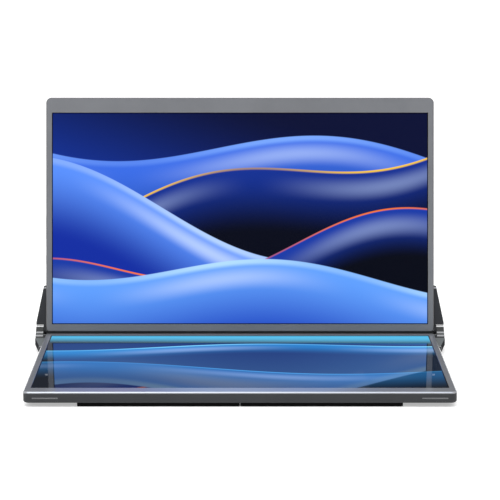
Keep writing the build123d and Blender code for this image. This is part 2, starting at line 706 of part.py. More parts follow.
def link_cap(side):
    """The link's outer cap, with a spigot into the housing and seats for the shafts and pins."""
    with BuildPart() as cap:
        with BuildSketch(link_plane(side, CAP_START)):
            link_outline(BARREL_RADIUS)
        extrude(amount=side * LINK_CAP)
        outer = cap.faces().sort_by(Axis((0, 0, 0), (side, 0, 0)))[-1]
        fillet(outer.edges(), LINK_EDGE_RADIUS)
        with BuildSketch(link_plane(side, CAP_START)):
            link_outline(CAVITY_RADIUS - HOLE_GAP)
        extrude(amount=-side * SPIGOT)
        with BuildSketch(link_plane(side, CAP_START - SPIGOT)):
            shaft_circles(SHAFT_RADIUS + RUNNING_GAP)
            pin_circles(IDLER_PIN_RADIUS)
        extrude(amount=side * (SPIGOT + SHAFT_POCKET), mode=Mode.SUBTRACT)
        with BuildSketch(link_plane(side, LINK_START)):
            trim_bands()
        extrude(amount=side * LINK_WIDTH, mode=Mode.SUBTRACT)
    return cap.part


def link_trim(side):
    """Polished lines let into the front and back of a link."""
    with BuildPart() as trim:
        with BuildSketch(link_plane(side, LINK_START)):
            trim_bands()
        extrude(amount=side * LINK_WIDTH)
    return trim.part


def friction_washers():
    """The friction washers on the four shafts."""
    with BuildPart() as washers:
        for side in (-1, 1):
            with BuildSketch(link_plane(side, CAVITY_START)):
                shaft_circles(WASHER_RADIUS)
                shaft_circles(SHAFT_RADIUS + RUNNING_GAP, Mode.SUBTRACT)
            extrude(amount=side * WASHER_THICKNESS)
    return washers.part


def idler_pins():
    """The pins that the idler gears turn on, seated in the housings and the caps."""
    with BuildPart() as pins:
        for side in (-1, 1):
            with BuildSketch(link_plane(side, CAVITY_START - PIN_SEAT)):
                pin_circles(IDLER_PIN_RADIUS)
            extrude(amount=side * (PIN_SEAT + LINK_CAVITY + SHAFT_POCKET))
    return pins.part


def control_board(face):
    """The circuit board, notched where its sockets sit in its edge."""
    notches = [(place, USB_WIDTH, USB_LENGTH) for place in USB_PLACES]
    notches.append((HDMI_PLACE, HDMI_WIDTH, HDMI_LENGTH))
    with BuildPart() as board:
        with BuildSketch(below(face, BOARD_TOP + BOARD_THICKNESS)):
            with Locations((BOARD_EDGE + BOARD_WIDTH / 2, -BOARD_START - BOARD_LENGTH / 2)):
                Rectangle(BOARD_WIDTH, BOARD_LENGTH)
            for place, width, length in notches:
                depth = SOCKET_FRONT + length + HOLE_GAP - BOARD_EDGE
                with Locations((BOARD_EDGE + depth / 2, -BOARD_START - place)):
                    Rectangle(depth, width + 2 * SOCKET_GAP, mode=Mode.SUBTRACT)
        extrude(amount=BOARD_THICKNESS)
    return board.part


def board_chips(face):
    """The larger chips on the control board."""
    with BuildPart() as chips:
        with BuildSketch(below(face, BOARD_TOP)):
            for across, along, size in CHIPS:
                with Locations((BOARD_EDGE + across, -BOARD_START - along)):
                    Rectangle(size, size)
        extrude(amount=CHIP_HEIGHT)
    return chips.part


def usb_c_sockets(face):
    """Two oval metal socket shells, each with the contact tongue in its middle."""
    places = [(-BOARD_START - place, -BAY_MIDDLE) for place in USB_PLACES]
    with BuildPart() as sockets:
        with BuildSketch(side_plane(face, SOCKET_FRONT)):
            with Locations(*places):
                SlotOverall(USB_WIDTH, USB_HEIGHT)
        extrude(amount=USB_LENGTH)
        with BuildSketch(side_plane(face, SOCKET_FRONT)):
            with Locations(*places):
                SlotOverall(USB_WIDTH - 2 * SOCKET_SHELL, USB_HEIGHT - 2 * SOCKET_SHELL)
            with Locations(*places):
                Rectangle(USB_WIDTH - USB_HEIGHT, SOCKET_TONGUE, mode=Mode.SUBTRACT)
        extrude(amount=USB_LENGTH - SOCKET_BACK, mode=Mode.SUBTRACT)
    return sockets.part


def hdmi_outline(width, height):
    """Corners of the socket's outline, narrower towards the back of the half."""
    middle = -BOARD_START - HDMI_PLACE
    top = -BAY_MIDDLE + height / 2
    half = width / 2
    return (
        (middle - half, top),
        (middle + half, top),
        (middle + half, top - height + HDMI_CORNER),
        (middle + half - HDMI_CORNER, top - height),
        (middle - half + HDMI_CORNER, top - height),
        (middle - half, top - height + HDMI_CORNER),
    )


def hdmi_socket(face):
    """A flat metal socket shell with cut corners and its contact tongue."""
    with BuildPart() as socket:
        with BuildSketch(side_plane(face, SOCKET_FRONT)):
            with BuildLine():
                Polyline(*hdmi_outline(HDMI_WIDTH, HDMI_HEIGHT), close=True)
            make_face()
        extrude(amount=HDMI_LENGTH)
        with BuildSketch(side_plane(face, SOCKET_FRONT)):
            with BuildLine():
                Polyline(
                    *hdmi_outline(HDMI_WIDTH - 2 * SOCKET_SHELL, HDMI_HEIGHT - 2 * SOCKET_SHELL),
                    close=True,
                )
            make_face()
            with Locations((-BOARD_START - HDMI_PLACE, -BAY_MIDDLE)):
                Rectangle(HDMI_WIDTH - 2 * HDMI_HEIGHT, SOCKET_TONGUE, mode=Mode.SUBTRACT)
        extrude(amount=HDMI_LENGTH - SOCKET_BACK, mode=Mode.SUBTRACT)
    return socket.part


def display_ribbon(face):
    """The flat cable from the back of the display down to the control board."""
    start = -BOARD_START - BOARD_LENGTH - RIBBON_RUN / 2
    top = -PAN_BACK + PAN_PRESSING - RIBBON_THICKNESS / 2
    landing = -BOARD_TOP + RIBBON_THICKNESS / 2
    across = BOARD_EDGE + (BOARD_WIDTH - RIBBON_WIDTH) / 2
    with BuildPart() as ribbon:
        with BuildSketch(side_plane(face, across)):
            with BuildLine():
                FilletPolyline(
                    (start, top),
                    (start + RIBBON_FLAT, top),
                    (start + RIBBON_RUN - RIBBON_FLAT, landing),
                    (start + RIBBON_RUN, landing),
                    radius=RIBBON_BEND,
                )
            trace(line_width=RIBBON_THICKNESS)
        extrude(amount=RIBBON_WIDTH)
    return ribbon.part


def key_board(face):
    """The narrow circuit board behind the buttons."""
    start = SWITCH_PLACES[0] - SWITCH_LENGTH / 2 - KEY_BOARD_MARGIN
    end = SWITCH_PLACES[-1] + SWITCH_LENGTH / 2 + KEY_BOARD_MARGIN
    with BuildPart() as board:
        with BuildSketch(below(face, BOARD_TOP + BOARD_THICKNESS)):
            with Locations((KEY_BOARD_X, -(start + end) / 2)):
                Rectangle(KEY_BOARD_WIDTH, end - start)
        extrude(amount=BOARD_THICKNESS)
    return board.part


def key_switches(face):
    """Side-push switches on the button board, each with its plunger."""
    with BuildPart() as switches:
        with BuildSketch(below(face, BOARD_TOP)):
            with Locations(*((SWITCH_FRONT - SWITCH_DEPTH / 2, -place) for place in SWITCH_PLACES)):
                Rectangle(SWITCH_DEPTH, SWITCH_LENGTH)
        extrude(amount=SWITCH_HEIGHT)
        with BuildSketch(side_plane(face, SWITCH_FRONT)):
            with Locations(*((-place, -BOARD_TOP + SWITCH_HEIGHT / 2) for place in SWITCH_PLACES)):
                Circle(PLUNGER_RADIUS)
        extrude(amount=PLUNGER_LENGTH)
    return switches.part


def power_button(face):
    """A pill-shaped button with a flange behind the wall and a stem that reaches for its switch."""
    flange_front = INNER_SIDE - FIT_GAP
    stem_end = PLUNGER_END + POWER_TRAVEL + FIT_GAP
    with BuildPart() as button:
        with BuildSketch(side_plane(face, flange_front)):
            with Locations((-POWER_START, -BAY_MIDDLE)):
                SlotOverall(POWER_LENGTH, BUTTON_HEIGHT)
        extrude(amount=SIDE + BUTTON_PROUD - flange_front)
        fillet(button.faces().sort_by(sideways(face, 1))[-1].edges(), BUTTON_EDGE_RADIUS)
        with BuildSketch(side_plane(face, flange_front)):
            with Locations((-POWER_START, -BAY_MIDDLE)):
                Rectangle(POWER_LENGTH + 2 * FLANGE_RIM, BUTTON_HEIGHT + 2 * FLANGE_RIM)
        extrude(amount=-FLANGE_THICKNESS)
        with BuildSketch(side_plane(face, stem_end)):
            with Locations((-POWER_START, -BAY_MIDDLE)):
                Rectangle(SWITCH_LENGTH, BUTTON_HEIGHT)
        extrude(amount=flange_front - stem_end)
    return button.part


def menu_rocker(face):
    """A long rocker that tips about a post behind the wall, with a leg for each of its two switches."""
    front = SIDE + BUTTON_PROUD
    back = front - ROCKER_BAR
    leg_end = PLUNGER_END + ROCKER_REACH * sin(radians(ROCKER_ANGLE)) + FIT_GAP
    with BuildPart() as rocker:
        with BuildSketch(side_plane(face, back)):
            with Locations((-ROCKER_START, -BAY_MIDDLE)):
                SlotOverall(ROCKER_LENGTH, BUTTON_HEIGHT)
        extrude(amount=ROCKER_BAR)
        fillet(rocker.faces().sort_by(sideways(face, 1))[-1].edges(), BUTTON_EDGE_RADIUS)
        with BuildSketch(below(face, BAY_MIDDLE + BUTTON_HEIGHT / 2)):
            with Locations(*(((leg_end + back) / 2, -place) for place in SWITCH_PLACES[1:])):
                Rectangle(back - leg_end, SWITCH_LENGTH)
            with Locations(((ROCKER_PIVOT_X + back) / 2, -ROCKER_START)):
                Rectangle(back - ROCKER_PIVOT_X, 2 * ROCKER_HUB_RADIUS)
            with Locations((ROCKER_PIVOT_X, -ROCKER_START)):
                Circle(ROCKER_HUB_RADIUS)
            with Locations((ROCKER_PIVOT_X, -ROCKER_START)):
                Circle(ROCKER_PIVOT_RADIUS + RUNNING_GAP, mode=Mode.SUBTRACT)
        extrude(amount=BUTTON_HEIGHT)
    return rocker.part


def speakers(face):
    """Two flat speaker boxes in the front corners, each with a sunk oval cone."""
    height = BOARD_BAY - SPEAKER_HEADROOM
    with BuildPart() as boxes:
        with BuildSketch(below(face, FLOOR_TOP)):
            with Locations(*speaker_places(CHIN_LEDGE_MIDDLE)):
                Rectangle(SPEAKER_LENGTH, SPEAKER_POCKET - 2 * FIT_GAP)
        extrude(amount=height)
        with BuildSketch(below(face, FLOOR_TOP - height)):
            with Locations(*speaker_places(CHIN_LEDGE_MIDDLE)):
                SlotOverall(CONE_LENGTH, CONE_WIDTH)
        extrude(amount=-CONE_DEPTH, mode=Mode.SUBTRACT)
    return boxes.part


def speaker_grilles(face):
    """Slotted strips in the chin wall, in front of the speakers."""
    with BuildPart() as grilles:
        with BuildSketch(front_plane(face)):
            with Locations(*speaker_places(-GRILLE_DROP)):
                SlotOverall(GRILLE_LENGTH - HOLE_GAP, GRILLE_HEIGHT - HOLE_GAP)
            with Locations(*speaker_places(-GRILLE_DROP)):
                with GridLocations(GRILLE_SLOT_PITCH, GRILLE_SLOT_PITCH, GRILLE_SLOTS, 1):
                    SlotOverall(GRILLE_SLOT_LENGTH, GRILLE_SLOT_HEIGHT, mode=Mode.SUBTRACT)
        extrude(amount=-WALL)
    return grilles.part


def feet(face, places, length):
    """Rubber feet on the back of the lower half, with rounded rims."""
    with BuildPart() as pads:
        with BuildSketch(below(face, HALF_THICKNESS + FOOT_HEIGHT)):
            with Locations(*places):
                RectangleRounded(length, FOOT_WIDTH, FOOT_CORNER_RADIUS)
        extrude(amount=FOOT_HEIGHT)
        soles = pads.faces().group_by(outward(face))[0]
        fillet(soles.edges(), FOOT_EDGE_RADIUS)
    return pads.part


# The two display halves; the upper one faces the other way, so its own right side is the monitor's left
for half, face, sides in (("lower", LOWER, ("left", "right")), ("upper", UPPER, ("right", "left"))):
    save(bezel(face), f"{half}_bezel")
    save(sheet(face, LIP_THICKNESS, GLASS_BACK), f"{half}_glass")
    save(sheet(face, GLASS_BACK, LCD_BACK), f"{half}_lcd_panel")
    save(backlight(face), f"{half}_backlight")
    save(back_cover(face, has_speakers=half == "lower"), f"{half}_back_cover")
    save(screws(face, screw_places(), HALF_THICKNESS - PAN_BACK + SCREW_BITE), f"{half}_cover_screws")
    save(screws(face, tongue_screw_places((-1, 1)), FLOOR + TONGUE_THICKNESS), f"{half}_hinge_screws")
    save(control_board(face), f"{half}_control_board")
    save(board_chips(face), f"{half}_board_chips")
    save(usb_c_sockets(face), f"{half}_usb_c_sockets")
    save(hdmi_socket(face), f"{half}_hdmi_socket")
    save(display_ribbon(face), f"{half}_display_ribbon")
    save(key_board(face), f"{half}_key_board")
    save(key_switches(face), f"{half}_key_switches")
    save(power_button(face), f"{half}_power_button")
    save(menu_rocker(face), f"{half}_menu_rocker")
    for side, name in zip((-1, 1), sides):
        save(hinge_arm(face, side), f"{half}_{name}_hinge_arm")

# Pieces that only the lower half has
front_foot_x = (FRONT_FOOT_LENGTH + FRONT_FOOT_JOINT) / 2
front_foot_y = -HALF_DEPTH + FRONT_FOOT_INSET + FOOT_WIDTH / 2
rear_foot_y = -REAR_FOOT_INSET - FOOT_WIDTH / 2
save(speakers(LOWER), "speakers")
save(speaker_grilles(LOWER), "speaker_grilles")
save(feet(LOWER, [(side * front_foot_x, front_foot_y) for side in (-1, 1)], FRONT_FOOT_LENGTH), "front_feet")
save(feet(LOWER, [(side * REAR_FOOT_X, rear_foot_y) for side in (-1, 1)], REAR_FOOT_LENGTH), "rear_feet")

# The geared hinge at each side: the lower pinion meets its idler with a tooth, the upper one with a gap
for side, name in ((-1, "left"), (1, "right")):
    save(hinge_shaft(side, 0, 0), f"lower_{name}_hinge_shaft")
    save(hinge_shaft(side, SHAFT_SPACING, pi + pi / PINION_TEETH), f"upper_{name}_hinge_shaft")
    for number, along in enumerate(IDLER_PLACES, start=1):
        save(idler_gear(side, along), f"{name}_idler_gear_{number}")
    save(link_housing(side), f"{name}_link_housing")
    save(link_cap(side), f"{name}_link_cap")
    save(link_trim(side), f"{name}_link_trim")
save(friction_washers(), "friction_washers")
save(idler_pins(), "idler_pins")
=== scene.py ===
import json
import math
from typing import NamedTuple

import bmesh
import bpy
from bpy.props import FloatProperty, FloatVectorProperty, PointerProperty
from mathutils import Matrix, Vector


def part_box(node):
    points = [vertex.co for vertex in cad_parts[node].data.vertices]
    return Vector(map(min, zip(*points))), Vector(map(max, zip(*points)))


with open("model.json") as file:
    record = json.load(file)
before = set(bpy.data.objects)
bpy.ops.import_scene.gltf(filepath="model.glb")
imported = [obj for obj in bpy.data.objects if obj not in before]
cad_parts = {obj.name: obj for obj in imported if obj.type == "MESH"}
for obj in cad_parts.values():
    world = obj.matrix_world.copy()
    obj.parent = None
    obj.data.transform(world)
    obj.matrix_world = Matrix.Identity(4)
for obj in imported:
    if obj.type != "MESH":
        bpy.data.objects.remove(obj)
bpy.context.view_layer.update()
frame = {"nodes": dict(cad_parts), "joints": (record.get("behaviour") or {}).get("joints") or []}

bl_info = {
    "name": "Dual-screen portable monitor",
    "version": (1, 0, 0),
    "blender": (4, 5, 0),
    "location": "3D View > Sidebar > Monitor",
    "description": "Finishes, stage and camera for a folding monitor with two screens",
    "category": "Object",
}

NODES = frame["nodes"]
MILLIMETRE = 0.001
HALVES = ("lower", "upper")
SIDES = ("left", "right")
BLACK = (0, 0, 0, 1)
WHITE = (1, 1, 1, 1)
ACROSS = Vector((1, 0, 0))
UPWARD = Vector((0, 0, 1))


def directions(half):
    """The ways across a half's screen, up it and out of it, the axis that its menu rocker tips about."""
    out = next(Vector(joint["axis"]) for joint in frame["joints"] if joint["name"] == f"{half}_rocker_tip")
    return ACROSS, out.cross(ACROSS), out


DIRECTIONS = {half: directions(half) for half in HALVES}


def middle_of(node):
    """The middle of a CAD node's box."""
    low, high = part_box(node)
    return (low + high) / 2


def rgb(red, green, blue):
    """A colour as screens write it, from 0 to 255, made linear for a shader."""
    linear = []
    for level in (red, green, blue):
        share = level / 255
        linear.append(share / 12.92 if share <= 0.04045 else ((share + 0.055) / 1.055) ** 2.4)
    return (*linear, 1.0)


def shade(base, share):
    """A darker or lighter copy of a colour."""
    return tuple(min(1.0, share * level) for level in base[:3]) + (1.0,)


# Where most of the values of a noise lie, and how rough it is
NOISE_SPREAD = (0.3, 0.7)
NOISE_ROUGHNESS = 0.55


class Sock:
    """A socket in a material's nodes, so that shader maths reads as plain arithmetic."""

    def __init__(self, tree, socket):
        self.tree = tree
        self.socket = socket

    def node(self, kind, settings=None, inputs=None, output=0):
        """Adds a node: its settings first, then the values or links of its sockets."""
        made = self.tree.nodes.new("ShaderNode" + kind)
        for name, value in (settings or {}).items():
            setattr(made, name, value)
        for name, value in (inputs or {}).items():
            if isinstance(value, Sock):
                self.tree.links.new(value.socket, made.inputs[name])
            else:
                made.inputs[name].default_value = value
        return Sock(self.tree, made.outputs[output]) if made.outputs else None

    def math(self, operation, *values):
        return self.node("Math", {"operation": operation}, dict(enumerate(values)))

    def __add__(self, other):
        return self.math("ADD", self, other)

    def __radd__(self, other):
        return self.math("ADD", other, self)

    def __sub__(self, other):
        return self.math("SUBTRACT", self, other)

    def __rsub__(self, other):
        return self.math("SUBTRACT", other, self)

    def __mul__(self, other):
        return self.math("MULTIPLY", self, other)

    def __rmul__(self, other):
        return self.math("MULTIPLY", other, self)

    def __truediv__(self, other):
        return self.math("DIVIDE", self, other)

    def sine(self):
        return self.math("SINE", self)

    def size(self):
        return self.math("ABSOLUTE", self)

    def least(self, other):
        return self.math("MINIMUM", self, other)

    def most(self, other):
        return self.math("MAXIMUM", self, other)

    def along(self, direction):
        """How far this vector reaches along a direction."""
        return self.node("VectorMath", {"operation": "DOT_PRODUCT"}, {0: self, 1: direction}, "Value")

    def rise(self, start, end):
        """A smooth step from 0 at start to 1 at end."""
        ends = {"Value": self, "From Min": start, "From Max": end}
        return self.node("MapRange", {"interpolation_type": "SMOOTHSTEP"}, ends)

    def between(self, low, high):
        """Stretches a value from 0 to 1 over another range."""
        return self.node("MapRange", {"clamp": True}, {"Value": self, "To Min": low, "To Max": high})

    def around(self, middle, reach):
        """Stretches a value from 0 to 1 over a range that reaches as far to both sides of its middle."""
        return self.between(middle - reach, middle + reach)

    def pick(self, first, second):
        """A colour mixed by this value, from 0, the first, to 1, the second."""
        return self.node("Mix", {"data_type": "RGBA"}, {0: self, 6: first, 7: second}, 2)

    def noise(self, scale, detail=3.0):
        """Cloudy noise from this vector, its scale counted per metre."""
        inputs = {"Vector": self, "Scale": scale, "Detail": detail, "Roughness": NOISE_ROUGHNESS}
        return self.node("TexNoise", None, inputs)

    def contrast(self):
        """A noise's values, spread out over the range from 0 to 1."""
        return self.rise(*NOISE_SPREAD)

    def stretched(self, scale):
        """This vector with each axis scaled, so that a pattern is drawn out along an axis below 1."""
        return self.node("Mapping", None, {"Vector": self, "Scale": scale})

    def bump(self, depth, strength):
        """A bumped normal from this height, its depth in metres."""
        return self.node("Bump", None, {"Height": self, "Distance": depth, "Strength": strength})


def new_finish(name):
    """An empty material, and the object coordinates that its patterns are drawn on."""
    material = bpy.data.materials.new(name)
    material.use_nodes = True
    material.node_tree.nodes.clear()
    place = Sock(material.node_tree, None).node("TexCoord", output="Object")
    return material, place


def surface(place, **inputs):
    """Closes a material with one shader; the inputs' names have _ for a space."""
    named = {name.replace("_", " "): value for name, value in inputs.items()}
    shader = place.node("BsdfPrincipled", None, named)
    place.node("OutputMaterial", None, {"Surface": shader})


def dress(material, *names):
    """Gives CAD nodes a finish."""
    for name in names:
        for slot in NODES[name].material_slots:
            slot.material = material


def colour(name, description, default):
    """A colour that a user may change."""
    return FloatVectorProperty(
        name=name, description=description, subtype="COLOR", size=4, min=0, max=1, default=default
    )


def number(name, description, default, **limits):
    """A number that a user may change, with its subtype and limits."""
    return FloatProperty(name=name, description=description, default=default, **limits)


class MonitorFinishes(bpy.types.PropertyGroup):
    """Colours of the monitor's finishes."""

    frame: colour("Frame", "Blasted metal round the screens", rgb(139, 141, 146))
    # The rims are lit and shaded copies of one edge: the lower one painted lighter, the upper one painted
    # darker as shade
    lower_rim: colour("Lower rim", "Edge of the lower frame", rgb(166, 168, 173))
    upper_rim: colour("Upper rim", "Edge of the upper frame", rgb(106, 107, 110))
    # The polished front edge is painted lighter than the frame, a painted highlight
    polish_and_highlight: colour("Polish", "Polished front edge of the lower frame", rgb(168, 174, 184))
    cover: colour("Cover", "Dark metal of the back covers", rgb(55, 57, 60))
    # The arm colours are lit and shaded copies of one cast metal: the lower arms' upper face painted
    # lighter, the upper arms' front and the other sides painted darker as shade
    lower_arm: colour("Lower arm", "Upper face of the lower hinge arms", rgb(117, 121, 121))
    upper_arm: colour("Upper arm", "Front of the upper hinge arms", rgb(72, 73, 76))
    arm_side: colour("Arm side", "Other sides of the hinge arms", rgb(62, 63, 66))
    # The bright line is smoother and more metallic, and its light colour is a painted highlight
    arm_line_highlight: colour("Arm line", "Bright line across each hinge arm", rgb(208, 209, 212))
    link: colour("Link", "Dark cast metal of the links", rgb(52, 54, 55))
    # The link lines are lit and shaded copies of one polished metal: the top one painted lighter as a
    # highlight
    trim: colour("Trim", "Lower lines on the links", rgb(160, 161, 164))
    top_trim_highlight: colour("Top trim", "Top line on the links", rgb(245, 246, 248))
    grille: colour("Grille", "Slotted strips in front of the speakers", rgb(146, 148, 151))
    steel: colour("Steel", "Sockets, shafts and gears", rgb(176, 178, 182))
    rubber: colour("Rubber", "Feet under the lower half", rgb(10, 10, 11))
    button: colour("Button", "Power button and menu rocker", rgb(48, 49, 51))
    board: colour("Board", "Solder mask of the circuit boards", rgb(16, 56, 38))


class MonitorScreens(bpy.types.PropertyGroup):
    """What the two screens show."""

    upper_glow: number("Upper glow", "Brightness of the upper picture", 1.08, min=0)
    lower_glow: number("Lower glow", "Brightness of the lower picture", 1.2, min=0)
    border: number(
        "Border",
        "Width of the black line round each picture",
        0.8 * MILLIMETRE,
        subtype="DISTANCE",
    )
    gloss: number("Gloss", "Refractive index of the panes", 1.27, min=1, max=2)
    coat: number("Coat", "Strength of the clear coat on the panes", 0.25, subtype="FACTOR", min=0, max=1)


class MonitorStage(bpy.types.PropertyGroup):
    """The floor, the light and the camera."""

    lens: number("Lens", "Focal length", 152.9, subtype="DISTANCE_CAMERA")
    distance: number("Distance", "From the camera to the upper screen", 1.951, subtype="DISTANCE")
    aim_drop: number(
        "Aim drop",
        "How far below the upper screen's middle the camera aims",
        29.05 * MILLIMETRE,
        subtype="DISTANCE",
    )
    shift: number("Shift", "Sideways shift of the picture", 0.02)
    lamp_power: number("Lamp", "Power of the overhead lamp", 12.0, subtype="POWER")
    floor: colour("Floor", "Plain floor", rgb(244, 244, 244))
    floor_glow: number("Floor glow", "Lifts the floor to white where it is seen", 0.42)


# Blasted and cast metal: clouds and grain per metre, the clouds' share in the speckle, how dark the speckle
# gets, and the grain's depth
CLOUD_SCALE = 28.0
GRAIN_SCALE = 2600.0
CLOUD_SHARE = 0.7
SPECKLE_SHADE = 0.86
GRAIN_DEPTH = 0.02 * MILLIMETRE


def blasted_grain(place):
    """The fine grain of blasted metal, and the speckle that it and faint clouds give the colour."""
    cloud = place.noise(CLOUD_SCALE, detail=4.0)
    grain = place.noise(GRAIN_SCALE, detail=2.0)
    return grain, (CLOUD_SHARE * cloud + (1 - CLOUD_SHARE) * grain).contrast()


def blasted_metal(name, base, metallic, roughness):
    """Fine blasted and anodised metal: faint clouds in its colour, and a very fine grain."""
    material, place = new_finish(name)
    grain, speckle = blasted_grain(place)
    surface(
        place,
        Base_Color=speckle.pick(shade(base, SPECKLE_SHADE), base),
        Metallic=metallic,
        Roughness=grain.around(roughness, reach=0.08),
        Normal=grain.bump(GRAIN_DEPTH, strength=0.35),
    )
    return material


# The frames: clear lacquer on each, how dark their speckle gets, how metallic they are, and how a chamfer's
# colour, painted lighter on the lower frame and darker on the upper as light and shade, fades as its slope
# leaves 45 degrees
FRAME_COAT = {"lower": 1.0, "upper": 0.45}
FRAME_SHADE = 0.9
FRAME_METALLIC = 0.25
CHAMFER_FADE = (0.1, 0.2)

# The polished front of the lower frame, painted lighter as a highlight: how it begins as the chamfer turns
# to the front, how metallic it is, and how much smoother than the rest
POLISH_RISE = (0.66, 0.7)
POLISH_METALLIC = 0.9
POLISH_SMOOTHING = 0.16


def framed_metal(name, half, base, rim, polish_and_highlight):
    """Blasted frame metal, its chamfer in painted light and shade, with a painted highlight where the lower
    front is polished.
    """
    material, place = new_finish(name)
    _, up, out = DIRECTIONS[half]
    normal = place.node("TexCoord", output="Normal")
    chamfer = 1 - (normal.along(out) - math.cos(math.pi / 4)).size().rise(*CHAMFER_FADE)
    grain, speckle = blasted_grain(place)
    # The chamfer takes the half's rim colour: painted light on the lower frame, painted shade on the upper
    colours = chamfer.pick(speckle.pick(shade(base, FRAME_SHADE), base), rim)
    metallic = FRAME_METALLIC
    roughness = grain.around(0.48, reach=0.06)
    if half == "lower":
        # The lower frame's front chamfer is polished, and painted lighter as a highlight
        polish_highlight_mask = chamfer * normal.along(-up).rise(*POLISH_RISE)
        colours = polish_highlight_mask.pick(colours, polish_and_highlight)
        metallic = polish_highlight_mask.between(FRAME_METALLIC, POLISH_METALLIC)
        roughness = roughness - POLISH_SMOOTHING * polish_highlight_mask
    surface(
        place,
        Base_Color=colours,
        Metallic=metallic,
        Roughness=roughness,
        Coat_Weight=FRAME_COAT[half],
        Coat_Roughness=0.12,
        Normal=grain.bump(GRAIN_DEPTH, strength=0.3),
    )
    return material


# The bright line across each hinge arm, whose light colour is a painted highlight, in millimetres from the
# arm's tip, how metallic it is, and how much smoother than the rest
TIP_LINE = (1.1, 2.7)
LINE_SOFTNESS = 0.15
LINE_METALLIC = 0.5
LINE_SMOOTHING = 0.2

# How an arm's screen side takes a lighter colour than its other sides, painted light and shade, as the
# surface turns the way that the screen faces
SCREEN_SIDE_RISE = (0.9, 0.98)


def arm_metal(name, half, base, face, line):
    """A half's hinge arms: cast metal in painted light and shade by side, and a painted highlight line at
    the tip.
    """
    material, place = new_finish(name)
    _, up, out = DIRECTIONS[half]
    away = up if half == "upper" else -up
    tip = max(corner.co.dot(away) for corner in NODES[f"{half}_left_hinge_arm"].data.vertices)
    inset = (tip - place.along(away)) / MILLIMETRE
    first, last = TIP_LINE
    # The line near the tip is painted lighter, a painted highlight
    tip_highlight_band = inset.rise(first, first + LINE_SOFTNESS) * (1 - inset.rise(last, last + LINE_SOFTNESS))
    grain, speckle = blasted_grain(place)
    # Painted light and shade: the screen side takes a lighter colour than the arm's other sides
    lit_screen_side = place.node("TexCoord", output="Normal").along(out).rise(*SCREEN_SIDE_RISE)
    shaded_side_cast = speckle.pick(shade(base, SPECKLE_SHADE), base)
    lit_face_cast = speckle.pick(shade(face, SPECKLE_SHADE), face)
    surface(
        place,
        Base_Color=tip_highlight_band.pick(lit_screen_side.pick(shaded_side_cast, lit_face_cast), line),
        Metallic=LINE_METALLIC * tip_highlight_band,
        Roughness=grain.around(0.57, reach=0.07) - LINE_SMOOTHING * tip_highlight_band,
        Specular_IOR_Level=0.0,
        Normal=grain.bump(GRAIN_DEPTH, strength=0.35),
    )
    return material


# Brushed metal: its scratches per metre and their depth, and the stretches that draw them out along x,
# along z, and round x, as turning does
SCRATCH_SCALE = 900.0
SCRATCH_DEPTH = 0.01 * MILLIMETRE
ALONG_X = (0.1, 1.0, 1.0)
ALONG_Z = (1.0, 1.0, 0.2)
ROUND_X = (1.0, 0.1, 0.1)


def brushed_metal(name, base, roughness, stretch, metallic=0.9):
    """Metal with fine scratches, drawn out along the axes whose stretch is below 1."""
    material, place = new_finish(name)
    scratches = place.stretched(stretch).noise(SCRATCH_SCALE)
    surface(
        place,
        Base_Color=scratches.contrast().pick(shade(base, 0.75), base),
        Metallic=metallic,
        Roughness=scratches.around(roughness, reach=0.1),
        Normal=scratches.bump(SCRATCH_DEPTH, strength=0.4),
    )
    return material


# Where a link's top line starts, as a share of the height of all its lines, and the stretch of the scratches
# on them; the top line's lighter colour is a painted highlight
TOP_LINE_RISE = (0.6, 0.7)
TRIM_STRETCH = (0.08, 1.0, 1.0)


def trim_metal(name, side, lower_lines, top_line_highlight):
    """The polished lines let into a link, the top one painted lighter as a highlight."""
    material, place = new_finish(name)
    climb = (middle_of(f"upper_{side}_hinge_shaft") - middle_of(f"lower_{side}_hinge_shaft")).normalized()
    heights = [corner.co.dot(climb) for corner in NODES[f"{side}_link_trim"].data.vertices]
    low, high = min(heights), max(heights)
    # The top line is painted lighter than the lower ones, a painted highlight
    top = ((place.along(climb) - low) / (high - low)).rise(*TOP_LINE_RISE)
    scratches = place.stretched(TRIM_STRETCH).noise(SCRATCH_SCALE)
    plain = top.pick(lower_lines, top_line_highlight)
    worn = top.pick(shade(lower_lines, 0.85), shade(top_line_highlight, 0.9))
    surface(
        place,
        Base_Color=scratches.contrast().pick(worn, plain),
        Metallic=top.between(0.5, 0.1),
        Roughness=scratches.around(0.375, reach=0.075),
        Normal=scratches.bump(SCRATCH_DEPTH, strength=0.3),
    )
    return material


# Moulded plastic: its clouds per metre, and the depth of its grain
PLASTIC_CLOUD_SCALE = 60.0
PLASTIC_DEPTH = 0.03 * MILLIMETRE


def moulded_plastic(name, base, roughness, grain_scale=1400.0, gloss=0.5):
    """Moulded plastic or rubber with a fine leathery grain."""
    material, place = new_finish(name)
    grain = place.noise(grain_scale)
    cloud = place.noise(PLASTIC_CLOUD_SCALE)
    surface(
        place,
        Base_Color=(0.5 * cloud + 0.5 * grain).contrast().pick(shade(base, 0.78), base),
        Roughness=grain.around(roughness, reach=0.1),
        Specular_IOR_Level=gloss,
        Normal=grain.bump(PLASTIC_DEPTH, strength=0.5),
    )
    return material


# Circuit boards: tracks and pads per metre, a track's width and a pad's edge as shares of their cells, the
# tracks' depth, and how many times lighter than the mask they are
TRACK_SCALE = 120.0
TRACK_WIDTH = 0.06
TRACK_DEPTH = 0.02 * MILLIMETRE
TRACK_SHADE = 2.4
PAD_SCALE = 420.0
PAD_EDGE = (0.16, 0.2)
PAD_GOLD = rgb(200, 176, 110)


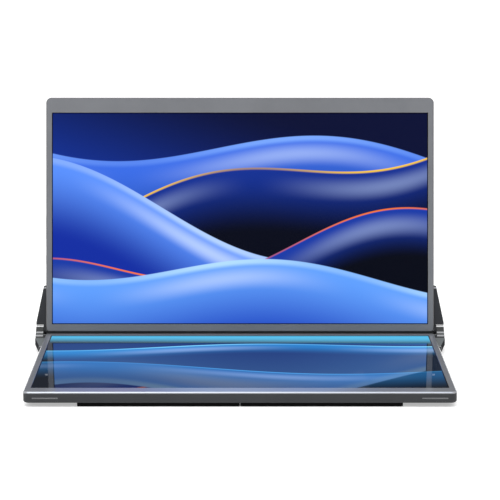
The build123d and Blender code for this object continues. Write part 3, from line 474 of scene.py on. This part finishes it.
def circuit_board(name, mask):
    """Solder mask with paler tracks under it and small bright pads."""
    material, place = new_finish(name)
    bricks = {"Vector": place, "Scale": TRACK_SCALE, "Mortar Size": TRACK_WIDTH}
    tracks = place.node("TexBrick", {"offset": 0.5}, bricks, "Fac")
    cells = place.node("TexVoronoi", None, {"Vector": place, "Scale": PAD_SCALE}, "Distance")
    pads = 1 - cells.rise(*PAD_EDGE)
    surface(
        place,
        Base_Color=pads.pick(tracks.pick(mask, shade(mask, TRACK_SHADE)), PAD_GOLD),
        Metallic=pads,
        Roughness=pads.between(0.42, 0.3),
        Normal=tracks.bump(TRACK_DEPTH, strength=0.6),
    )
    return material


class Backdrop(NamedTuple):
    """What lies behind a picture's folds: two colours that meet in a slanted blend between two heights."""

    low: tuple
    high: tuple
    start: float
    end: float
    slant: float


class Fold(NamedTuple):
    """One layer of a picture: it lies below a wavy line, and falls from a lit colour to a deep one."""

    height: float
    tilt: float
    swing: float
    length: float
    phase: float
    fall: float
    sheen: float
    edge_width: float
    lit: tuple
    deep: tuple
    edge: tuple


# The pictures, in millimetres from the screen's middle and radians, their folds listed from back to front
BACKDROPS = {
    "upper": Backdrop(low=rgb(22, 62, 182), high=rgb(5, 12, 50), start=-110.0, end=110.0, slant=0.35),
    "lower": Backdrop(low=rgb(8, 14, 34), high=rgb(58, 172, 216), start=62.0, end=92.0, slant=0.02),
}
FOLDS = {
    "upper": (
        Fold(
            height=62, tilt=-0.10, swing=22, length=460, phase=0.3, fall=90, sheen=0.5, edge_width=7.0,
            lit=rgb(58, 108, 228), deep=rgb(8, 22, 84), edge=rgb(120, 165, 250),
        ),
        Fold(
            height=30, tilt=0.26, swing=20, length=380, phase=2.2, fall=60, sheen=0.3, edge_width=2.6,
            lit=rgb(18, 48, 144), deep=rgb(2, 5, 22), edge=rgb(255, 204, 48),
        ),
        Fold(
            height=-2, tilt=-0.16, swing=30, length=420, phase=4.2, fall=74, sheen=0.8, edge_width=8.0,
            lit=rgb(90, 144, 250), deep=rgb(16, 44, 158), edge=rgb(176, 206, 255),
        ),
        Fold(
            height=-30, tilt=0.14, swing=20, length=330, phase=5.3, fall=46, sheen=0.3, edge_width=2.0,
            lit=rgb(24, 58, 164), deep=rgb(1, 4, 18), edge=rgb(255, 122, 28),
        ),
        Fold(
            height=-50, tilt=-0.05, swing=14, length=370, phase=1.0, fall=76, sheen=0.6, edge_width=7.0,
            lit=rgb(96, 158, 250), deep=rgb(24, 64, 188), edge=rgb(176, 218, 255),
        ),
    ),
    "lower": (
        Fold(
            height=56, tilt=0.05, swing=9, length=330, phase=1.4, fall=40, sheen=0.3, edge_width=5.0,
            lit=rgb(30, 118, 174), deep=rgb(8, 24, 44), edge=rgb(124, 206, 236),
        ),
        Fold(
            height=-26, tilt=-0.06, swing=16, length=400, phase=3.6, fall=60, sheen=0.2, edge_width=4.0,
            lit=rgb(22, 84, 134), deep=rgb(5, 14, 26), edge=rgb(64, 140, 192),
        ),
    ),
}

# How soft a fold's outline is, and where and how wide its sheen lies below it, in millimetres
EDGE_SOFTNESS = 0.5
SHEEN_DEPTH = 16.0
SHEEN_WIDTH = 13.0
SHEEN_COLOUR = rgb(190, 212, 255)

# How often the light swells in one wave of a fold, the least light on its edge, and the share of the edge's
# width before it fades
SWELL_PACE = 1.5
EDGE_LEAST = 0.35
EDGE_CORE = 0.3


def picture(across, up, half):
    """Colours of one screen: wavy folds of light over a plain gradient, from places in millimetres."""
    back = BACKDROPS[half]
    colours = (back.slant * across + up).rise(back.start, back.end).pick(back.low, back.high)
    for fold in FOLDS[half]:
        turn = across * (2 * math.pi / fold.length)
        depth = fold.height + fold.tilt * across + fold.swing * (turn + fold.phase).sine() - up
        colours = depth.rise(-EDGE_SOFTNESS, EDGE_SOFTNESS).pick(colours, fold_colours(fold, turn, depth))
    return colours


def fold_colours(fold, turn, depth):
    """One fold's colours: lit at its edge, deep further down, with a sheen that comes and goes along it."""
    swell = 0.5 + 0.5 * (SWELL_PACE * turn + 2 * fold.phase).sine()
    body = (depth / fold.fall).rise(0.0, 1.0).pick(fold.lit, fold.deep)
    coming = depth.rise(SHEEN_DEPTH - SHEEN_WIDTH, SHEEN_DEPTH)
    going = depth.rise(SHEEN_DEPTH, SHEEN_DEPTH + SHEEN_WIDTH)
    glossy = (fold.sheen * swell * coming * (1 - going)).pick(body, SHEEN_COLOUR)
    edge_end = depth.rise(EDGE_CORE * fold.edge_width, fold.edge_width)
    edge_light = (EDGE_LEAST + (1 - EDGE_LEAST) * swell) * (1 - edge_end)
    return edge_light.pick(glossy, fold.edge)


# The panes: their own colour, their smudges per metre and how rough these are, the rim of a panel that lies
# under the frame, and how far the border's inner edge fades to both sides, as a share of its width
PANE_BLACK = (0.004, 0.004, 0.005, 1)
SMUDGE_SCALE = 22.0
SMUDGE_ROUGHNESS = 0.04
HIDDEN_RIM = 1.5 * MILLIMETRE
BORDER_FADE = 0.3


def bonded_glass(name, half, screens):
    """A glossy pane bonded to its panel, whose picture shines inside a thin black border."""
    material, place = new_finish(name)
    across, up, _ = DIRECTIONS[half]
    middle = middle_of(f"{half}_lcd_panel")
    # Both panels are the same size, and the lower one lies square to the axes
    low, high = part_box("lower_lcd_panel")
    right = place.along(across) - middle.dot(across)
    above = place.along(up) - middle.dot(up)
    room_across = (high.x - low.x) / 2 - HIDDEN_RIM - right.size()
    room_up = (high.y - low.y) / 2 - HIDDEN_RIM - above.size()
    border_ends = ((1 - BORDER_FADE) * screens.border, (1 + BORDER_FADE) * screens.border)
    inside = room_across.least(room_up).rise(*border_ends)
    surface(
        place,
        Base_Color=PANE_BLACK,
        Roughness=place.noise(SMUDGE_SCALE, detail=2.0).between(0.0, SMUDGE_ROUGHNESS),
        IOR=screens.gloss,
        Coat_Weight=screens.coat,
        Coat_Roughness=0.0,
        Emission_Color=inside.pick(BLACK, picture(right / MILLIMETRE, above / MILLIMETRE, half)),
        Emission_Strength=getattr(screens, f"{half}_glow"),
    )
    return material


class MONITOR_OT_frames(bpy.types.Operator):
    """Finish the metal frames round both screens"""

    bl_idname = "monitor.frames"
    bl_label = "Screen frames"

    def execute(self, context):
        finishes = context.scene.monitor_finishes
        for half in HALVES:
            # The rim colours are painted light on the lower frame and painted shade on the upper
            rim = getattr(finishes, f"{half}_rim")
            metal = framed_metal(f"{half} frame metal", half, finishes.frame, rim, finishes.polish_and_highlight)
            dress(metal, f"{half}_bezel")
        return {"FINISHED"}


class MONITOR_OT_screens(bpy.types.Operator):
    """Finish the panes with their panels, and the pans behind them"""

    bl_idname = "monitor.screens"
    bl_label = "Screens"

    def execute(self, context):
        pan = brushed_metal("backlight pan", rgb(196, 198, 200), roughness=0.45, stretch=ALONG_X)
        for half in HALVES:
            glass = bonded_glass(f"{half} glass", half, context.scene.monitor_screens)
            dress(glass, f"{half}_glass", f"{half}_lcd_panel")
            dress(pan, f"{half}_backlight")
        return {"FINISHED"}


class MONITOR_OT_covers(bpy.types.Operator):
    """Finish the back covers and the screws in them"""

    bl_idname = "monitor.covers"
    bl_label = "Back covers"

    def execute(self, context):
        finishes = context.scene.monitor_finishes
        metal = blasted_metal("cover metal", finishes.cover, metallic=0.35, roughness=0.5)
        black = brushed_metal("blackened screws", rgb(40, 40, 42), roughness=0.35, stretch=ALONG_Z)
        for half in HALVES:
            dress(metal, f"{half}_back_cover")
            dress(black, f"{half}_cover_screws", f"{half}_hinge_screws")
        return {"FINISHED"}


class MONITOR_OT_hinges(bpy.types.Operator):
    """Finish the hinge arms, the links and the gears inside them"""

    bl_idname = "monitor.hinges"
    bl_label = "Hinges"

    def execute(self, context):
        finishes = context.scene.monitor_finishes
        cast = blasted_metal("hinge metal", finishes.link, metallic=0.35, roughness=0.46)
        steel = brushed_metal("turned steel", finishes.steel, roughness=0.3, stretch=ROUND_X)
        bronze = brushed_metal("friction bronze", rgb(176, 138, 84), roughness=0.4, stretch=(1.0, 0.2, 0.2))
        for side in SIDES:
            lines = trim_metal(f"{side} trim metal", side, finishes.trim, finishes.top_trim_highlight)
            dress(cast, f"{side}_link_housing", f"{side}_link_cap")
            dress(lines, f"{side}_link_trim")
            dress(steel, f"{side}_idler_gear_1", f"{side}_idler_gear_2")
        for half in HALVES:
            # The arms' face colours are lit and shaded copies: painted light on the lower arms' upper face
            face = getattr(finishes, f"{half}_arm")
            arm = arm_metal(f"{half} arm metal", half, finishes.arm_side, face, finishes.arm_line_highlight)
            dress(arm, *(f"{half}_{side}_hinge_arm" for side in SIDES))
            dress(steel, *(f"{half}_{side}_hinge_shaft" for side in SIDES))
        dress(steel, "idler_pins")
        dress(bronze, "friction_washers")
        return {"FINISHED"}


class MONITOR_OT_boards(bpy.types.Operator):
    """Finish the circuit boards and what sits on them"""

    bl_idname = "monitor.boards"
    bl_label = "Circuit boards"

    def execute(self, context):
        finishes = context.scene.monitor_finishes
        board = circuit_board("solder mask", finishes.board)
        chip = moulded_plastic("chip resin", rgb(28, 28, 30), roughness=0.55, grain_scale=2200.0)
        film = moulded_plastic("ribbon film", rgb(150, 84, 30), roughness=0.35, grain_scale=500.0)
        steel = brushed_metal("socket steel", finishes.steel, roughness=0.28, stretch=ALONG_X)
        for half in HALVES:
            dress(board, f"{half}_control_board", f"{half}_key_board")
            dress(chip, f"{half}_board_chips", f"{half}_key_switches")
            dress(film, f"{half}_display_ribbon")
            dress(steel, f"{half}_usb_c_sockets", f"{half}_hdmi_socket")
        return {"FINISHED"}


class MONITOR_OT_buttons(bpy.types.Operator):
    """Finish the power buttons and the menu rockers"""

    bl_idname = "monitor.buttons"
    bl_label = "Buttons"

    def execute(self, context):
        plastic = moulded_plastic("button plastic", context.scene.monitor_finishes.button, roughness=0.42)
        for half in HALVES:
            dress(plastic, f"{half}_power_button", f"{half}_menu_rocker")
        return {"FINISHED"}


class MONITOR_OT_speakers(bpy.types.Operator):
    """Finish the speakers and their grilles"""

    bl_idname = "monitor.speakers"
    bl_label = "Speakers"

    def execute(self, context):
        plastic = moulded_plastic("speaker plastic", rgb(22, 22, 24), roughness=0.6)
        base = context.scene.monitor_finishes.grille
        metal = brushed_metal("grille metal", base, roughness=0.45, stretch=ALONG_X, metallic=0.4)
        dress(plastic, "speakers")
        dress(metal, "speaker_grilles")
        return {"FINISHED"}


class MONITOR_OT_feet(bpy.types.Operator):
    """Finish the rubber feet"""

    bl_idname = "monitor.feet"
    bl_label = "Rubber feet"

    def execute(self, context):
        base = context.scene.monitor_finishes.rubber
        rubber = moulded_plastic("foot rubber", base, roughness=0.85, grain_scale=900.0, gloss=0.12)
        dress(rubber, "front_feet", "rear_feet")
        return {"FINISHED"}


# The stage, in metres: how far the floor reaches, and the overhead lamp's place, width and depth
FLOOR_REACH = 30.0
LAMP_PLACE = Vector((-0.4, -1.0, 1.7))
LAMP_WIDTH = 1.8
LAMP_DEPTH = 1.2

# The fibres per metre in the floor's paper, and how much darker they are
FIBRE_SCALE = 40.0
FIBRE_SHADE = 0.985

# The sky's light near the horizon and overhead, and the heights, 1 being overhead, between which it changes
SKY_LOW = (0.05, 0.05, 0.05, 1)
SKY_HIGH = (1.35, 1.35, 1.35, 1)
SKY_RISE = (0.3, 0.8)


class MONITOR_OT_stage(bpy.types.Operator):
    """Make the floor, the lights and the camera"""

    bl_idname = "monitor.stage"
    bl_label = "Stage"

    def execute(self, context):
        settings = context.scene.monitor_stage
        self.lay_floor(context, settings)
        self.light(context, settings)
        self.aim_camera(context, settings)
        context.scene.view_settings.view_transform = "Standard"
        return {"FINISHED"}

    def lay_floor(self, context, settings):
        shape = bmesh.new()
        bmesh.ops.create_grid(shape, x_segments=1, y_segments=1, size=FLOOR_REACH)
        mesh = bpy.data.meshes.new("floor")
        shape.to_mesh(mesh)
        shape.free()
        floor = bpy.data.objects.new("floor", mesh)
        context.scene.collection.objects.link(floor)
        mesh.materials.append(self.paper(settings))

    def paper(self, settings):
        """Pale paper, lifted to white where the camera sees it, in a reflection or through glass too."""
        material, place = new_finish("floor paper")
        fibres = place.noise(FIBRE_SCALE, detail=4.0)
        kinds = ("Camera", "Glossy", "Transmission")
        camera, glossy, through = (place.node("LightPath", output=f"Is {kind} Ray") for kind in kinds)
        surface(
            place,
            Base_Color=fibres.contrast().pick(shade(settings.floor, FIBRE_SHADE), settings.floor),
            Roughness=0.9,
            Emission_Color=camera.most(glossy).most(through).pick(BLACK, WHITE),
            Emission_Strength=settings.floor_glow,
        )
        return material

    def light(self, context, settings):
        world = bpy.data.worlds.new("studio")
        world.use_nodes = True
        world.node_tree.nodes.clear()
        sky = Sock(world.node_tree, None).node("TexCoord", output="Generated")
        dome = sky.along(UPWARD).rise(*SKY_RISE).pick(SKY_LOW, SKY_HIGH)
        sky.node("OutputWorld", None, {"Surface": sky.node("Background", None, {"Color": dome})})
        context.scene.world = world
        lamp = bpy.data.lights.new("overhead lamp", "AREA")
        lamp.shape = "RECTANGLE"
        lamp.size = LAMP_WIDTH
        lamp.size_y = LAMP_DEPTH
        lamp.energy = settings.lamp_power
        holder = bpy.data.objects.new("overhead lamp", lamp)
        holder.location = LAMP_PLACE
        holder.rotation_euler = LAMP_PLACE.to_track_quat("Z", "Y").to_euler()
        context.scene.collection.objects.link(holder)

    def aim_camera(self, context, settings):
        across, up, out = DIRECTIONS["upper"]
        aim = middle_of("upper_glass") - settings.aim_drop * up
        data = bpy.data.cameras.new("camera")
        data.lens = settings.lens
        data.shift_x = settings.shift
        camera = bpy.data.objects.new("camera", data)
        turn = Matrix((across, up, out)).transposed().to_4x4()
        camera.matrix_world = Matrix.Translation(aim + settings.distance * out) @ turn
        context.scene.collection.objects.link(camera)
        context.scene.camera = camera


class MONITOR_PT_panel(bpy.types.Panel):
    """Lists the monitor's operators and settings"""

    bl_idname = "MONITOR_PT_panel"
    bl_label = "Monitor"
    bl_space_type = "VIEW_3D"
    bl_region_type = "UI"
    bl_category = "Monitor"

    def draw(self, context):
        for operator in OPERATORS:
            self.layout.operator(operator.bl_idname)
        for name in GROUPS:
            group = getattr(context.scene, name)
            for setting in group.__annotations__:
                self.layout.prop(group, setting)


GROUPS = {
    "monitor_finishes": MonitorFinishes,
    "monitor_screens": MonitorScreens,
    "monitor_stage": MonitorStage,
}
OPERATORS = (
    MONITOR_OT_stage,
    MONITOR_OT_frames,
    MONITOR_OT_screens,
    MONITOR_OT_covers,
    MONITOR_OT_hinges,
    MONITOR_OT_boards,
    MONITOR_OT_buttons,
    MONITOR_OT_speakers,
    MONITOR_OT_feet,
)


def register():
    for made in (*GROUPS.values(), *OPERATORS, MONITOR_PT_panel):
        bpy.utils.register_class(made)
    for name, group in GROUPS.items():
        setattr(bpy.types.Scene, name, PointerProperty(type=group))


def unregister():
    for name in GROUPS:
        delattr(bpy.types.Scene, name)
    for made in (MONITOR_PT_panel, *reversed(OPERATORS), *reversed(GROUPS.values())):
        bpy.utils.unregister_class(made)


def main():
    register()
    bpy.ops.monitor.stage()
    bpy.ops.monitor.frames()
    bpy.ops.monitor.screens()
    bpy.ops.monitor.covers()
    bpy.ops.monitor.hinges()
    bpy.ops.monitor.boards()
    bpy.ops.monitor.buttons()
    bpy.ops.monitor.speakers()
    bpy.ops.monitor.feet()


if __name__ == "__main__":
    main()
